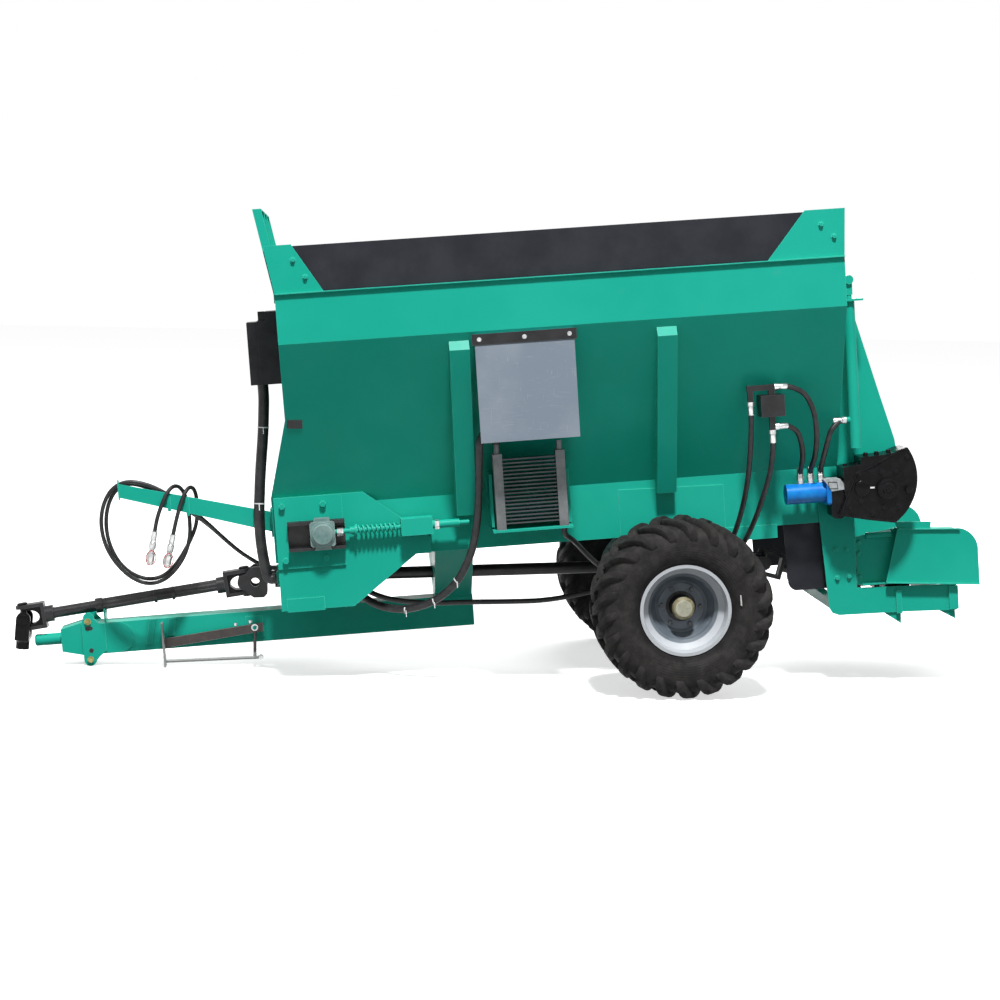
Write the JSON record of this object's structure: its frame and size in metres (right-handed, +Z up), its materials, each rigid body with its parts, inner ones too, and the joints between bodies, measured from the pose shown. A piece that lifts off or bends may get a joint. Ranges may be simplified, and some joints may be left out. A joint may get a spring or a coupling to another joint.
{
  "type": "manure spreader",
  "caption": "Towed V-hopper manure spreader with chain conveyor floor, rear slide gate, twin spinners and drawbar",
  "frame": {"origin": "on the floor under the middle of the machine's box", "axes": "+X forward along the drawbar, +Y to the machine's left, +Z up"},
  "size_m": [4.8567, 2, 2.3763],
  "materials": {
    "teal_paint": "semi-gloss powder coat",
    "black_paint": "satin black",
    "blue_paint": "gloss enamel",
    "rim_paint": "satin grey-blue",
    "hub_paint": "satin, dusty",
    "tyre_rubber": "matt",
    "hose_rubber": "satin",
    "strip_rubber": "matt",
    "floor_steel": "worn mill finish",
    "chain_steel": "oiled",
    "zinc_steel": "zinc plated",
    "cast_grey": "painted casting",
    "cast_black": "painted casting",
    "cooler_alloy": "dull",
    "visor_plastic": "textured",
    "box_plastic": "textured",
    "stand_steel": "worn dark paint"
  },
  "bodies": {
    "chassis": {"drawbar": "teal_paint", "gusset_plates": "teal_paint", "hitch_head": "teal_paint", "hopper_side_left": "teal_paint", "hopper_side_right": "teal_paint", "hopper_front": "teal_paint", "hopper_rear": "teal_paint", "hopper_floor": "floor_steel", "top_strips": "strip_rubber", "corner_plates": "teal_paint", "front_board": "teal_paint", "axle": "teal_paint", "conveyor": "chain_steel", "conveyor_shafts": "zinc_steel", "tensioner_guides": "teal_paint", "tensioner_bearings": "cast_grey", "tensioner_rods": "zinc_steel", "tensioner_springs": "black_paint", "oil_cooler": "cooler_alloy", "cooler_bracket": "teal_paint", "cooler_visor": "visor_plastic", "control_box": "box_plastic", "front_sleeve": "hose_rubber", "cooler_hoses": "hose_rubber", "hose_arm": "teal_paint", "driveline": "black_paint", "conveyor_gearbox": "cast_black", "hydraulic_motor": "blue_paint", "valve_block": "black_paint", "rear_hoses": "hose_rubber", "gate_cylinders": "teal_paint", "rear_cheeks": "teal_paint", "deck_frame": "teal_paint", "side_guards": "teal_paint", "spinner_drive": "cast_black", "spread_flaps": "strip_rubber", "tractor_hose_a": "hose_rubber", "tractor_hose_b": "hose_rubber", "coupler_a": "zinc_steel", "coupler_b": "zinc_steel"},
    "wheel_left": {"tyre_left": "tyre_rubber", "rim_left": "rim_paint", "hub_left": "hub_paint"},
    "wheel_right": {"tyre_right": "tyre_rubber", "rim_right": "rim_paint", "hub_right": "hub_paint"},
    "gate": {"gate": "teal_paint"},
    "spinner_left": {"spinner_left": "floor_steel"},
    "spinner_right": {"spinner_right": "floor_steel"},
    "stand": {"parking_stand": "stand_steel"},
    "pto_shaft": {"pto_shaft": "black_paint"},
    "pto_yoke": {"pto_yoke": "cast_black"}
  },
  "joints": [
    {"name": "wheel_left_spin", "type": "hinge", "parent": "chassis", "child": "wheel_left", "pos_m": [-0.8751, 0.8, 0.437], "axis": [0, 1, 0], "continuous": true},
    {"name": "wheel_right_spin", "type": "hinge", "parent": "chassis", "child": "wheel_right", "pos_m": [-0.8751, -0.8, 0.437], "axis": [0, 1, 0], "continuous": true},
    {"name": "gate_lift", "type": "slide", "parent": "chassis", "child": "gate", "axis": [0.0854, 0, 0.9963], "range_m": [0, 0.5]},
    {"name": "spinner_left_spin", "type": "hinge", "parent": "chassis", "child": "spinner_left", "pos_m": [-2.06969, 0.232, 0.55146], "axis": [0.0854, 0, 0.9963], "continuous": true},
    {"name": "spinner_right_spin", "type": "hinge", "parent": "chassis", "child": "spinner_right", "pos_m": [-2.06969, -0.232, 0.55146], "axis": [0.0854, 0, 0.9963], "continuous": true},
    {"name": "stand_swing", "type": "hinge", "parent": "chassis", "child": "stand", "pos_m": [1.20797, 0.096, 0.20823], "axis": [0, 1, 0], "range_deg": [0, 90]},
    {"name": "pto_lift", "type": "hinge", "parent": "chassis", "child": "pto_shaft", "pos_m": [1.25734, 0, 0.43284], "axis": [0, -1, 0], "range_deg": [0, 45]},
    {"name": "pto_yoke_tilt", "type": "hinge", "parent": "pto_shaft", "child": "pto_yoke", "pos_m": [2.38147, 0, 0.23409], "axis": [0, -1, 0], "range_deg": [0, 76]}
  ],
  "couplings": [
    {"joint": "spinner_right_spin", "follows": "spinner_left_spin", "ratio": -1}
  ]
}
